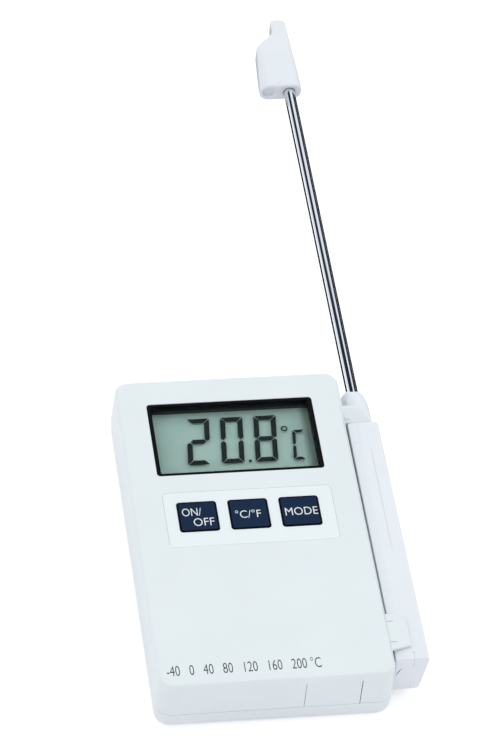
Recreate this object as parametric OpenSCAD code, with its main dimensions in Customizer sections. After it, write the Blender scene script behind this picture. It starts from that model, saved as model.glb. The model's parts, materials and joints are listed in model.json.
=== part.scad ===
// Digital probe thermometer, lying on its back.
// Millimetres. Origin at the centre of the body's back face, +X towards the probe handle,
// +Y towards the probe's tip, +Z out of the display.

/* [Body] */
// Width of the body across X, at its front face
body_w = 64; // [62:1:80]
// Length of the body along Y, at its front face
body_l = 107; // [104:1:130]
// Thickness of the body along Z
body_t = 18; // [17:0.5:22]
// Radius of the body's four upright corners
body_r = 4; // [3:0.5:6]
// How far the walls stand out where the two shells meet
draft = 0.5; // [0.2:0.1:0.5]
// How far the walls stand out at the back face's edge
back_draft = 0.25; // [0.1:0.05:0.4]
// Height of the joint between the shells above the back face
parting_z = 6; // [5.5:0.25:7]
// Rounding of the front face's edge
front_edge = 1; // [0.6:0.1:2]
// Rounding of the back face's edge
back_edge = 2.3; // [0.6:0.1:2.4]
// Depth of the groove along the joint between the shells
joint_groove = 0.2; // [0.1:0.05:0.3]
// Thickness of the side walls
wall = 2; // [1.6:0.1:2.6]
// Thickness of the front face
front_wall = 2; // [1.6:0.1:2.4]
// Thickness of the back face
back_wall = 2; // [1.6:0.1:2.4]
// Height of the rear shell's tongue inside the front shell
lip_h = 1.2; // [0.8:0.1:1.6]
// Thickness of that tongue
lip_t = 0.9; // [0.6:0.1:1.1]
// Clearance between pieces that are fixed together
fit_gap = 0.1; // [0.05:0.05:0.2]
// Clearance between pieces that slide
slide_gap = 0.15; // [0.1:0.05:0.3]

/* [Display] */
// Width of the display window
window_w = 47.2; // [40:0.2:48]
// Length of the display window
window_l = 26.2; // [22:0.2:28]
// Corner radius of the window
window_r = 1; // [0.5:0.1:2]
// Distance from the body's top end to the window
window_margin = 8.9; // [8.5:0.1:12]
// Sideways offset of the window from the body's middle
window_x = -0.2; // [-0.4:0.1:0.4]
// Thickness of the clear pane that lies on the display
lens_t = 0.9; // [0.6:0.1:1]
// How far the black frame round the display lies below the front face
frame_recess = 0.1; // [0.05:0.05:0.3]
// Width of that frame at the display's sides
rim_side = 1.1; // [0.8:0.05:1.6]
// Width of that frame at the display's ends
rim_end = 0.85; // [0.7:0.05:1.6]
// Wall of the display holder behind the front face
holder_wall = 0.8; // [0.6:0.1:1]
// Thickness of the holder's flange between the glass and the front face
holder_top_t = 0.3; // [0.2:0.1:0.5]
// How far the display glass runs under its frame at each side
glass_overlap = 1.3; // [0.8:0.1:1.5]
// Thickness of each of the two glass plates
glass_t = 0.55; // [0.4:0.05:0.7]
// Thickness of the polarising film and of the reflector film
film_t = 0.1; // [0.1:0.05:0.2]
// Space between the glass plates
cell_gap = 0.1; // [0.08:0.02:0.14]
// Width of the contact ledge on the front glass
ledge = 2.2; // [1.8:0.1:2.6]
// Width of each rubber contact strip
strip_w = 1.6; // [1.2:0.1:1.7]
// Height of a digit
digit_h = 16; // [12:0.5:18]
// Width of a digit
digit_w = 6.4; // [5:0.2:7.4]
// Distance from one digit to the next
digit_pitch = 9.55; // [9:0.05:10]
// Width of a digit's segments
segment_w = 1.45; // [0.8:0.05:1.8]
// Space between neighbouring segments
segment_gap = 0.22; // [0.15:0.01:0.3]
// Lean of the digits, as a share of their height
digit_lean = 0.1; // [0:0.01:0.15]
// How far the digits lie above the window's middle
digit_up = 1; // [0:0.1:1.5]

/* [Keys] */
// Width of a key
key_w = 10.87; // [9:0.01:11.5]
// Length of a key
key_l = 10.26; // [9:0.01:11.5]
// Corner radius of a key
key_r = 0.8; // [0.4:0.1:1.5]
// Distance from one key to the next
key_pitch = 14.26; // [13.6:0.01:15]
// Distance from the window to the middle of the keys
keys_below_window = 14.9; // [14.6:0.1:18]
// How far a key stands above the front face
key_proud = 0.15; // [0.05:0.05:0.5]
// Travel of a key
key_travel = 0.4; // [0.3:0.05:0.5]
// Flange that keeps a key behind the front face
key_flange = 0.75; // [0.5:0.05:0.9]
// Thickness of that flange
key_flange_t = 1; // [0.8:0.1:1.2]
// Width of the panel round the keys
panel_w = 47.05; // [46:0.05:50]
// Length of the panel round the keys
panel_l = 18.9; // [16:0.1:20]
// Sideways offset of the panel from the keys' middle
panel_x = 0.35; // [0:0.05:0.5]
// Corner radius of the panel
panel_r = 1.5; // [1:0.1:3]
// Thickness of the panel's film
panel_t = 0.25; // [0.15:0.05:0.35]
// Radius of a contact pill
pill_r = 2; // [1.5:0.1:2.3]
// Thickness of a contact pill
pill_t = 0.6; // [0.4:0.1:0.7]
// Thickness of the rubber mat
mat_t = 0.8; // [0.6:0.1:0.9]

/* [Circuit board] */
// Space between the board and the front face's inner side
board_drop = 3.5; // [3.4:0.1:4]
// Thickness of the board
board_t = 1.6; // [1:0.1:1.6]
// Distance of the board's screws from the body's side
board_screw_inset = 5.4; // [5.2:0.1:6.5]
// Distance from the body's bottom end to the board
board_margin = 22; // [21:0.5:26]
// Radius of the drop of resin over the controller
blob_r = 6; // [4:0.5:7]
// Radius of the board screws
board_screw_r = 0.85; // [0.7:0.05:1]

/* [Battery] */
// Radius of the button cell
cell_r = 5.8; // [5:0.1:5.8]
// Height of the button cell
cell_h = 5.4; // [4.2:0.1:5.4]
// Place of the battery door across X
battery_x = 15.25; // [13:0.25:17]
// Width of the battery door
door_w = 15.4; // [15:0.1:16]
// Lowest edge of the battery door above the back face
door_z = 6; // [5.8:0.1:6.1]
// Height of the battery door
door_h = 9.7; // [9.5:0.1:9.8]
// Thickness of the drawer's floor
tray_t = 0.8; // [0.6:0.1:1]
// Thickness of the drawer's side rails
rail_t = 0.7; // [0.5:0.1:0.8]
// Thickness of the bay's ribs
rib_t = 1.2; // [0.9:0.1:1.4]
// Thickness of the contact strips
contact_t = 0.25; // [0.2:0.05:0.3]
// Width of the contact strips
contact_w = 4; // [3:0.2:5]

/* [Fasteners] */
// Distance of the housing screws from the body's side
screw_inset_x = 4.5; // [4.3:0.1:5]
// Distance of the housing screws from the body's end
screw_inset_y = 4.9; // [4.8:0.1:5.5]
// Radius of the housing screws
screw_r = 1.05; // [0.9:0.05:1.1]
// Radius of the screws' heads
screw_head_r = 2; // [1.8:0.1:2.2]
// Height of the screws' heads
screw_head_h = 1.3; // [1:0.1:1.6]
// Depth of the screw holes in the back face
screw_sink = 2.4; // [2:0.1:2.6]

/* [Probe] */
// Distance of the probe's axis from the body's side
probe_offset = 5.4; // [5.2:0.1:6.5]
// Height of the probe's axis above the back face
probe_z = 9.75; // [9.5:0.05:10]
// Radius of the steel stem
stem_r = 1.7; // [1.4:0.1:2]
// Wall of the steel stem
stem_wall = 0.4; // [0.3:0.05:0.5]
// Length of the stem outside the handle
stem_out = 146; // [120:1:160]
// Length of the stem inside the handle
stem_in = 27; // [24:1:30]
// Length of the stem's point
point_l = 5; // [3:0.5:7]
// Width of the handle at its front
handle_w = 9; // [8.4:0.1:10]
// How much narrower the handle is at its back
handle_taper = 1.8; // [0.4:0.1:2]
// How much wider the handle is at its bottom end
handle_splay = 0.4; // [0.1:0.1:0.6]
// Thickness of the handle
handle_t = 13.5; // [12:0.5:13.5]
// Space between the body's side and the handle
handle_gap = 0.7; // [0.7:0.1:1.4]
// Length of the handle's grip
handle_l = 83.5; // [75:0.5:95]
// Distance from the body's bottom end to the handle's bottom end
handle_up = 5.5; // [3:0.5:8]
// Rounding of the handle's front edges
handle_edge = 1; // [0.5:0.1:1.5]
// Width of the slope along the handle's inner front edge
crown_w = 2.4; // [1:0.1:3]
// Depth of that slope
crown_h = 0.4; // [0.3:0.1:1.4]
// Wall of the handle
handle_wall = 1.5; // [1.2:0.1:1.7]
// Place of the seam between the handle's halves, beyond the probe's axis
seam_offset = 0.4; // [0:0.1:0.6]
// Width of the groove along that seam
seam_groove = 0.2; // [0.1:0.05:0.4]
// Radius of the handle's neck
neck_r = 3.9; // [3.4:0.1:4]
// Length of the handle's neck
neck_l = 15.4; // [15:0.2:22]
// Radius of the brass collar
collar_r = 2.6; // [2.3:0.1:2.8]
// Length of the brass collar
collar_l = 4; // [3:0.5:5]
// Radius of the cord gland
gland_r = 3.1; // [2.8:0.1:3.2]
// Radius of the gland's hollow inside the handle
gland_hole_r = 1.5; // [1:0.1:1.7]
// Thickness of the membrane that closes the gland
membrane_t = 0.9; // [0.6:0.1:1.2]

/* [Clips] */
// How far the clips reach over the probe
clip_reach = 5.5; // [4:0.1:5.6]
// How far the upper clip's saddle reaches over the neck
saddle_reach = 8; // [7:0.1:8.4]
// Thickness of the saddle at its outer end
saddle_end_t = 0.8; // [0.6:0.1:1.2]
// Depth of the upper clip below the front face, at the body
saddle_drop = 0.05; // [0.05:0.05:0.6]
// Depth of the lower clip below the front face
clip_drop = 0.5; // [0.1:0.1:0.6]
// Length of the upper clip along Y
upper_clip_l = 5; // [4:0.5:9]
// Length of the lower clip along Y
lower_clip_l = 12; // [10:0.5:16]
// Distance from the body's bottom end to the lower clip
lower_clip_up = 8.3; // [6.5:0.1:12]
// Width of the slits beside the lower clip's tongue
slit_w = 0.2; // [0.2:0.05:0.5]
// Rounding of the saddle's edge beside the handle
saddle_edge = 1.2; // [0.6:0.1:1.4]

/* [Tip cap] */
// Length of the cap
cap_l = 30.8; // [28:0.2:36]
// Length of the stem that stays bare between the handle and the cap
bare_stem = 124.5; // [90:0.5:128]
// Thickness of the cap
cap_t = 6; // [5.6:0.1:6.6]
// How far the cap reaches beyond the stem's axis, away from the body
cap_right = 4; // [3.6:0.1:4.4]
// How far the cap reaches beyond the stem's axis, towards the body
cap_left = 9.3; // [8.5:0.1:10]
// Radius of the cap's slim end
cap_tip_r = 2.35; // [2.1:0.05:2.5]
// Distance between the stem's axis and the cap's second hole
cap_pitch = 6.4; // [5.8:0.1:6.8]
// Radius of the second hole
cap_hole_r = 1.9; // [1.5:0.1:2.1]
// Depth of the second hole
cap_hole_l = 2.5; // [2:0.5:12]

/* [Hidden] */

$fn = 48;
far = 400;
arc_steps = 6;

front_in = body_t - front_wall;
half_w = body_w / 2;
half_l = body_l / 2;
in_w = body_w - 2 * wall;
in_l = body_l - 2 * wall;
in_r = body_r - wall;

window_y = half_l - window_margin - window_l / 2;
frame_top = body_t - frame_recess;
display_top = front_in - holder_top_t;
front_glass_z = display_top - film_t - glass_t;
rear_glass_z = front_glass_z - cell_gap - glass_t;
reflector_z = rear_glass_z - film_t;
view_w = window_w - 2 * fit_gap - 2 * rim_side;
view_l = window_l - 2 * fit_gap - 2 * rim_end;
glass_w = view_w + 2 * glass_overlap;
front_glass_l = view_l + 2 * ledge;
rear_glass_l = front_glass_l - 2 * ledge;
holder_w = glass_w + 2 * fit_gap + 2 * holder_wall;
holder_l = front_glass_l + 2 * fit_gap + 2 * holder_wall;

keys_y = window_y - window_l / 2 - keys_below_window;
keys_x = -0.09;
key_top = body_t + key_proud;
key_flange_top = front_in - fit_gap;
key_hub_r = pill_r + 0.4;

board_top = front_in - board_drop;
board_bottom = board_top - board_t;
board_screw_x = half_w - board_screw_inset;
board_w = 2 * (half_w - wall) - 2.2;
board_end_up = half_l - screw_inset_y - 2.8;
board_end_down = -half_l + board_margin;
board_post_r = 2;
board_post_up = window_y - holder_l / 2 - board_post_r - 0.9;
board_post_down = board_end_down + 3.4;
board_head_r = board_screw_r + 0.75;
board_head_h = 1;
board_screw_gap = 1.2;
crystal_r = 1;
chip_w = 1.6;
chip_l = 2.8;
chip_t = 0.9;
chips_y = keys_y - 5.4 * chip_l;
capacitor_r = 2.5;

screw_x = half_w - screw_inset_x;
screw_y = half_l - screw_inset_y;
front_post_r = screw_head_r + 0.4;
rear_post_r = screw_head_r + 0.9;
screw_end = front_in - 3;

door_in = -half_l + wall;
tray_w = 2 * cell_r + 2 * slide_gap + 2 * rail_t;
tray_end = door_in + 2 * cell_r + 1.5;
tray_z = board_top - cell_h - 0.1 - tray_t;
cell_z = tray_z + tray_t + 0.05;
cell_y = door_in + cell_r + 0.4;
bay_w = tray_w + 2 * slide_gap;
bay_stop = tray_end + 0.4;
contact_reach = cell_y - 2.5;

inlet_x = 20;
inlet_z = probe_z;
inlet_hole_r = 2.5;

probe_x = half_w + probe_offset;
seam_x = probe_x + seam_offset;
handle_x0 = half_w + handle_gap;
handle_x1 = handle_x0 + handle_w;
handle_z0 = probe_z - handle_t / 2;
handle_z1 = probe_z + handle_t / 2;
handle_y0 = -half_l + handle_up;
handle_y1 = handle_y0 + handle_l;
neck_end = handle_y1 + neck_l;
stem_y0 = neck_end - stem_in;
stem_tip = neck_end + stem_out;
collar_y = handle_y1 - collar_l - 2;
gland_x = (handle_x0 + handle_x1 - handle_taper / 2) / 2;
gland_t = 3;
gland_sink = 0.15;
gland_shift = 0.06;
peg_r = 1.1;
peg_z = handle_z1 - handle_wall - 2.2;
peg_ys = [handle_y0 + 11 * peg_r, stem_y0 - 7 * peg_r];

clip_x1 = half_w + clip_reach;
clip_z = handle_z1 + slide_gap;
clip_top = body_t - clip_drop;
upper_clip_y = handle_y1 + slide_gap;
lower_clip_y = -half_l + lower_clip_up;

cap_y = neck_end + bare_stem;
cap_end = cap_y + cap_l;
cap_x2 = probe_x - cap_pitch;
lead_r = 0.45;
lead_x = 0.55;
bead_r = 0.75;
bead_y = stem_tip - point_l - 2;

body_white = [0.92, 0.94, 0.96];
key_navy = [0.11, 0.17, 0.33];
film_black = [0.04, 0.04, 0.04];
rubber_grey = [0.3, 0.31, 0.33];
steel = [0.78, 0.8, 0.82];
brass = [0.8, 0.65, 0.35];
board_green = [0.1, 0.36, 0.2];
display_green = [0.58, 0.7, 0.65];

// Points of a corner at b, between a and c, rounded by an arc of radius r
function unit(v) = v / norm(v);
function turn(from, to) =
    let (raw = to - from)
    raw > 180 ? raw - 360 : raw < -180 ? raw + 360 : raw;
function rounded_corner(a, b, c, r) =
    let (
        u = unit(a - b),
        v = unit(c - b),
        half = acos(u * v) / 2,
        middle = b + unit(u + v) * r / sin(half),
        start = b + u * r / tan(half) - middle,
        finish = b + v * r / tan(half) - middle,
        from = atan2(start.y, start.x),
        sweep = turn(from, atan2(finish.y, finish.x))
    )
    r == 0 ? [b] : [
        for (i = [0:arc_steps])
            middle + r * [cos(from + sweep * i / arc_steps), sin(from + sweep * i / arc_steps)]
    ];

// An outline with each corner rounded by its own radius
function rounded(points, radii) =
    let (n = len(points))
    [
        for (i = [0:n - 1])
            each rounded_corner(points[(i + n - 1) % n], points[i], points[(i + 1) % n], radii[i])
    ];

// Outline of a rectangle about its middle, with rounded corners
module rounded_rect(w, l, r) {
    corners = [[-w / 2, -l / 2], [w / 2, -l / 2], [w / 2, l / 2], [-w / 2, l / 2]];
    polygon(rounded(corners, [r, r, r, r]));
}

module slab(w, l, r, z0, z1) {
    translate([0, 0, z0])
        linear_extrude(z1 - z0)
            rounded_rect(w, l, r);
}

module box(x0, x1, y0, y1, z0, z1) {
    translate([x0, y0, z0])
        cube([x1 - x0, y1 - y0, z1 - z0]);
}

// A cylinder along +Y from y0 to y1
module rod_y(x, z, r, y0, y1) {
    translate([x, y0, z])
        rotate([-90, 0, 0])
            cylinder(h = y1 - y0, r = r);
}

// A solid of revolution about a line along +Y, from points of [radius, y]
module turned_y(x, z, points) {
    translate([x, 0, z])
        rotate([-90, 0, 0])
            rotate_extrude()
                polygon(points);
}

// A block with upright rounded corners, whose side follows points of [offset, z]
module soft_block(w, l, r, side) {
    first = side[0].y;
    last = side[len(side) - 1].y;
    count = len(side);
    flat_x = w / 2 - r;
    flat_y = l / 2 - r;
    translate([0, flat_y, 0])
        rotate([90, 0, 0])
            linear_extrude(2 * flat_y)
                polygon([
                    for (p = side) [w / 2 + p.x, p.y],
                    for (i = [0:count - 1]) [-w / 2 - side[count - 1 - i].x, side[count - 1 - i].y]
                ]);
    for (turned = [0, 180])
        rotate([0, 0, turned])
            translate([-flat_x, 0, 0])
                rotate([90, 0, 90])
                    linear_extrude(2 * flat_x)
                        polygon([
                            [flat_y - r, first], for (p = side) [l / 2 + p.x, p.y], [flat_y - r, last]
                        ]);
    for (corner = [[1, 1, 0], [-1, 1, 90], [-1, -1, 180], [1, -1, 270]])
        translate([corner.x * flat_x, corner.y * flat_y, 0])
            rotate([0, 0, corner.z])
                rotate_extrude(angle = 90)
                    polygon([[0, first], for (p = side) [r + p.x, p.y], [0, last]]);
}

front_side = [
    [draft - joint_groove, parting_z], [draft, parting_z + joint_groove],
    for (i = [0:arc_steps])
        [
            front_edge * (cos(90 * i / arc_steps) - 1),
            body_t - front_edge + front_edge * sin(90 * i / arc_steps)
        ]
];
back_side = [
    for (i = [0:arc_steps])
        [
            back_draft + back_edge * (sin(90 * i / arc_steps) - 1),
            back_edge - back_edge * cos(90 * i / arc_steps)
        ],
    [draft, parting_z - joint_groove], [draft - joint_groove, parting_z]
];

module housing_outside() {
    soft_block(body_w, body_l, body_r, front_side);
    soft_block(body_w, body_l, body_r, back_side);
}

module at_housing_screws() {
    for (x = [-screw_x, screw_x], y = [-screw_y, screw_y])
        translate([x, y, 0])
            children();
}

module at_board_screws() {
    for (x = [-board_screw_x, board_screw_x], y = [board_post_down, board_post_up])
        translate([x, y, 0])
            children();
}

module at_keys() {
    for (i = [-1:1])
        translate([keys_x + i * key_pitch, keys_y, 0])
            children();
}

module door_opening(gap) {
    box(
        battery_x - door_w / 2 + gap, battery_x + door_w / 2 - gap,
        -half_l - 2 * draft, door_in + (gap > 0 ? 0 : 0.01),
        door_z + gap, door_z + door_h - gap
    );
}

// The upper clip's free space: the neck, open to the side where it comes out
module neck_way() {
    y0 = upper_clip_y - 1;
    y1 = upper_clip_y + upper_clip_l + 1;
    reach = neck_r + slide_gap;
    rod_y(probe_x, probe_z, reach, y0, y1);
    box(probe_x, probe_x + 3 * neck_r, y0, y1, probe_z - reach, probe_z + reach);
}

// The upper clip's front half: a saddle that slopes down over the neck
module saddle_front() {
    x0 = half_w - wall / 2;
    top = body_t - saddle_drop;
    low = probe_z + neck_r + slide_gap + saddle_end_t;
    bulge = 0.8;
    difference() {
        translate([0, upper_clip_y + upper_clip_l, 0])
            rotate([90, 0, 0])
                linear_extrude(upper_clip_l)
                    polygon([
                        [x0, parting_z], [probe_x - 0.74 * neck_r, parting_z],
                        [probe_x - 0.74 * neck_r, probe_z], [half_w + saddle_reach, probe_z],
                        for (i = [0:2 * arc_steps])
                            let (angle = 90 - 90 * i / (2 * arc_steps))
                            [
                                half_w + saddle_reach * pow(sin(angle), bulge),
                                low + (top - low) * pow(cos(angle), bulge)
                            ],
                        [x0, top]
                    ]);
        translate([half_w - 1.5, 0, 0])
            rotate([90, 0, 90])
                linear_extrude(far)
                    polygon([
                        [upper_clip_y - 1, body_t + 1],
                        for (i = [0:arc_steps])
                            [
                                upper_clip_y + saddle_edge * (1 - cos(90 * i / arc_steps)),
                                top - saddle_edge * (1 - sin(90 * i / arc_steps))
                            ],
                        [upper_clip_y + saddle_edge, body_t + 1]
                    ]);
        neck_way();
    }
}

// The upper clip's rear half
module saddle_rear() {
    difference() {
        box(
            half_w - wall / 2, clip_x1, upper_clip_y, upper_clip_y + upper_clip_l,
            handle_z0 - slide_gap - 1.4, parting_z
        );
        neck_way();
    }
}

module lower_clip_front() {
    tongue = lower_clip_l - 5;
    middle = lower_clip_y + lower_clip_l / 2;
    end = lower_clip_y + lower_clip_l;
    difference() {
        translate([0, 0, clip_z])
            linear_extrude(clip_top - clip_z)
                polygon([
                    [half_w - wall / 2, lower_clip_y], [half_w, lower_clip_y],
                    [clip_x1, lower_clip_y + 1.2], [clip_x1, end - 0.8],
                    [half_w, end], [half_w - wall / 2, end]
                ]);
        for (side = [-1, 1])
            box(
                half_w - 0.3, half_w + 1.6,
                middle + side * tongue / 2 - slit_w / 2, middle + side * tongue / 2 + slit_w / 2,
                clip_z - 1, body_t + 1
            );
        translate([clip_x1, 0, clip_top])
            rotate([0, 45, 0])
                cube([0.6, far, 0.6], center = true);
    }
}

module front_shell() {
    color(body_white)
        difference() {
            union() {
                difference() {
                    soft_block(body_w, body_l, body_r, front_side);
                    slab(in_w, in_l, in_r, parting_z - 1, front_in);
                    slab(
                        in_w + 2 * lip_t + 2 * fit_gap, in_l + 2 * lip_t + 2 * fit_gap,
                        in_r + lip_t, parting_z - 1, parting_z + lip_h + fit_gap
                    );
                }
                at_housing_screws()
                    translate([0, 0, parting_z])
                        cylinder(h = front_in - parting_z + 0.1, r = front_post_r);
                at_board_screws()
                    translate([0, 0, board_top])
                        cylinder(h = front_in - board_top + 0.1, r = board_post_r);
                saddle_front();
                lower_clip_front();
            }
            translate([window_x, window_y, 0])
                slab(window_w, window_l, window_r, front_in - 1, body_t + 1);
            translate([keys_x + panel_x, keys_y - 0.75, 0])
                slab(
                    panel_w + 2 * fit_gap, panel_l + 2 * fit_gap, panel_r,
                    body_t - panel_t - 0.05, body_t + 1
                );
            at_keys()
                slab(
                    key_w + 2 * slide_gap, key_l + 2 * slide_gap, key_r + slide_gap,
                    front_in - 1, body_t + 1
                );
            at_housing_screws()
                translate([0, 0, parting_z - 1])
                    cylinder(h = screw_end - parting_z + 1.5, r = screw_r + 0.05);
            at_board_screws()
                translate([0, 0, board_top - 1])
                    cylinder(h = board_drop, r = board_screw_r + 0.05);
            door_opening(0);
            rod_y(inlet_x, inlet_z, inlet_hole_r, half_l - wall - 1, half_l + 2);
        }
}

module battery_bay() {
    for (side = [-1, 1])
        translate([battery_x + side * (bay_w / 2 + rib_t / 2), 0, 0]) {
            box(-rib_t / 2, rib_t / 2, door_in, bay_stop, back_wall - 0.1, parting_z + 3);
            box(
                -rib_t / 2 - (side > 0 ? 1.2 : 0), rib_t / 2 + (side < 0 ? 1.2 : 0),
                door_in, bay_stop, back_wall - 0.1, tray_z - fit_gap
            );
        }
    difference() {
        box(
            battery_x - bay_w / 2 - rib_t, battery_x + bay_w / 2 + rib_t,
            bay_stop, bay_stop + rib_t, back_wall - 0.1, parting_z + 3
        );
        box(
            battery_x - contact_w / 2 - 0.4, battery_x + contact_w / 2 + 0.4,
            bay_stop - 1, bay_stop + rib_t + 1, cell_z - 1, parting_z + 4
        );
    }
}

module rear_shell() {
    color(body_white)
        difference() {
            union() {
                difference() {
                    union() {
                        soft_block(body_w, body_l, body_r, back_side);
                        slab(
                            in_w + 2 * lip_t, in_l + 2 * lip_t, in_r + lip_t,
                            parting_z - 1, parting_z + lip_h
                        );
                    }
                    slab(in_w, in_l, in_r, back_wall, parting_z + lip_h + 1);
                }
                at_housing_screws()
                    translate([0, 0, back_wall - 0.1])
                        cylinder(h = parting_z - back_wall + 0.1, r = rear_post_r);
                battery_bay();
                saddle_rear();
                box(
                    half_w - wall / 2, clip_x1, lower_clip_y, lower_clip_y + lower_clip_l,
                    handle_z0 - slide_gap - 1.4, handle_z0 - slide_gap
                );
            }
            at_housing_screws() {
                translate([0, 0, -1])
                    cylinder(h = screw_sink + 1, r = screw_head_r + 0.2);
                cylinder(h = parting_z + 1, r = screw_r + 0.15);
            }
            door_opening(0);
        }
}

module window_lens() {
    color([0.9, 0.95, 0.95, 0.3])
        translate([window_x, window_y, 0])
            slab(
                view_w - 2 * fit_gap, view_l - 2 * fit_gap, 0.5 - fit_gap,
                display_top, display_top + lens_t
            );
}

module display_frame() {
    color(film_black)
        translate([window_x, window_y, 0])
            difference() {
                union() {
                    slab(
                        window_w - 2 * fit_gap, window_l - 2 * fit_gap, window_r - fit_gap,
                        front_in - 0.1, frame_top
                    );
                    slab(holder_w, holder_l, window_r, board_top, front_in);
                }
                slab(view_w, view_l, 0.5, board_top - 1, frame_top + 1);
                slab(
                    glass_w + 2 * fit_gap, front_glass_l + 2 * fit_gap, 0.3,
                    board_top - 1, display_top
                );
            }
}

module display_polariser() {
    color(display_green)
        translate([window_x, window_y, 0])
            slab(glass_w, rear_glass_l, 0.3, display_top - film_t, display_top);
}

module display_front_glass() {
    color([0.75, 0.85, 0.82, 0.4])
        translate([window_x, window_y, 0])
            slab(glass_w, front_glass_l, 0.3, front_glass_z, front_glass_z + glass_t);
}

module display_rear_glass() {
    color([0.75, 0.85, 0.82, 0.4])
        translate([window_x, window_y, 0])
            slab(glass_w, rear_glass_l, 0.3, rear_glass_z, rear_glass_z + glass_t);
}

module display_reflector() {
    color(display_green)
        translate([window_x, window_y, 0])
            slab(glass_w, rear_glass_l, 0.3, reflector_z, reflector_z + film_t);
}

// The seven segments of one digit, in the order a b c d e f g
function digit_segments(w, h, t, g) =
    let (mid = h / 2, half = t / 2)
    [
        [[g, h], [w - g, h], [w - t - g, h - t], [t + g, h - t]],
        [[w, h - g], [w, mid + half], [w - half, mid + g], [w - t, mid + half + g], [w - t, h - t - g]],
        [[w, g], [w, mid - half], [w - half, mid - g], [w - t, mid - half - g], [w - t, t + g]],
        [[g, 0], [w - g, 0], [w - t - g, t], [t + g, t]],
        [[0, g], [0, mid - half], [half, mid - g], [t, mid - half - g], [t, t + g]],
        [[0, h - g], [0, mid + half], [half, mid + g], [t, mid + half + g], [t, h - t - g]],
        [
            [half + g, mid], [t + g, mid + half], [w - t - g, mid + half],
            [w - half - g, mid], [w - t - g, mid - half], [t + g, mid - half]
        ]
    ];
function leaned(points) = [for (p = points) [p.x + digit_lean * p.y, p.y]];

module digit(x, w, h, t, shown) {
    shapes = digit_segments(w, h, t, segment_gap);
    translate([x, 0])
        for (i = shown)
            polygon(leaned(shapes[i]));
}

// The reading 20.8 with a degree ring and the letter C
module display_segments() {
    first_x = -13.95;
    color([0.08, 0.12, 0.11])
        translate([window_x, window_y - digit_h / 2 + digit_up, rear_glass_z + glass_t + 0.01])
            linear_extrude(cell_gap - 0.02) {
                digit(first_x, digit_w, digit_h, segment_w, [0, 1, 3, 4, 6]);
                digit(first_x + digit_pitch, digit_w, digit_h, segment_w, [0, 1, 2, 3, 4, 5]);
                digit(first_x + 2 * digit_pitch, digit_w, digit_h, segment_w, [0, 1, 2, 3, 4, 5, 6]);
                translate([first_x + 2 * digit_pitch - 1.9, 0])
                    square([0.8, 0.8]);
                translate([first_x + 3 * digit_pitch + 0.2, 0.69 * digit_h])
                    difference() {
                        circle(r = 0.95);
                        circle(r = 0.6);
                    }
                digit(
                    first_x + 3 * digit_pitch + 1.3, digit_w * 0.55, digit_h * 0.65,
                    segment_w * 0.62, [0, 3, 4, 5]
                );
            }
}

module contact_strips() {
    color([0.25, 0.25, 0.27])
        for (side = [-1, 1])
            translate([window_x, window_y + side * (front_glass_l / 2 - ledge / 2), 0])
                box(
                    -glass_w / 2 + 1, glass_w / 2 - 1, -strip_w / 2, strip_w / 2,
                    board_top, front_glass_z
                );
}

module key_panel() {
    color([0.96, 0.97, 0.98])
        difference() {
            translate([keys_x + panel_x, keys_y - 0.75, 0])
                slab(panel_w, panel_l, panel_r - fit_gap, body_t - panel_t - 0.05, body_t - 0.05);
            at_keys()
                slab(
                    key_w + 2 * slide_gap, key_l + 2 * slide_gap, key_r + slide_gap,
                    body_t - 1, body_t + 1
                );
        }
}

module key_mat() {
    color(rubber_grey)
        difference() {
            translate([keys_x, keys_y, 0])
                slab(
                    2 * key_pitch + key_w + 4, key_l + 4, 2,
                    board_top, board_top + mat_t
                );
            at_keys()
                translate([0, 0, board_top - 1])
                    cylinder(h = mat_t + 2, r = key_hub_r + 1.5);
        }
}

// A key cap: its face, the flange behind the front face and the hub above its contact
module key(place) {
    hub_z = board_top + key_travel + 0.05 + pill_t;
    color(key_navy)
        translate([keys_x + place * key_pitch, keys_y, 0]) {
            slab(key_w, key_l, key_r, key_flange_top - key_flange_t, key_top);
            slab(
                key_w + 2 * key_flange, key_l + 2 * key_flange, key_r,
                key_flange_top - key_flange_t, key_flange_top
            );
            translate([0, 0, hub_z])
                cylinder(h = key_flange_top - key_flange_t - hub_z + 0.1, r = key_hub_r);
        }
}

module key_on_off() {
    key(-1);
}

module key_unit() {
    key(0);
}

module key_mode() {
    key(1);
}

// The soft web that carries a key above the mat
module dome(place) {
    low = board_top + 0.02;
    high = key_flange_top - key_flange_t - 0.02;
    inner = key_hub_r + 0.05;
    outer = key_hub_r + 1.45;
    color(rubber_grey)
        translate([keys_x + place * key_pitch, keys_y, 0])
            rotate_extrude()
                polygon([
                    [outer - 0.4, low], [outer, low], [outer, low + mat_t],
                    [inner + 0.4, high - 0.4], [inner + 0.4, high], [inner, high],
                    [inner, high - 0.5], [outer - 0.4, low + mat_t - 0.1]
                ]);
}

module dome_on_off() {
    dome(-1);
}

module dome_unit() {
    dome(0);
}

module dome_mode() {
    dome(1);
}

module pill(place) {
    color(film_black)
        translate([keys_x + place * key_pitch, keys_y, board_top + key_travel + 0.05])
            cylinder(h = pill_t, r = pill_r);
}

module pill_on_off() {
    pill(-1);
}

module pill_unit() {
    pill(0);
}

module pill_mode() {
    pill(1);
}

module main_board() {
    color(board_green)
        difference() {
            box(-board_w / 2, board_w / 2, board_end_down, board_end_up, board_bottom, board_top);
            at_board_screws()
                translate([0, 0, board_bottom - 1])
                    cylinder(h = board_t + 2, r = board_screw_r + 0.25);
        }
}

module controller_blob() {
    color(film_black)
        translate([-0.7 * blob_r, keys_y - 0.2 * blob_r, board_bottom])
            rotate([180, 0, 0])
                rotate_extrude()
                    polygon(blob_r * [
                        [0, 0], [1, 0], [0.93, 0.1], [0.73, 0.18], [0.42, 0.23], [0, 0.25]
                    ]);
}

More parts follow.
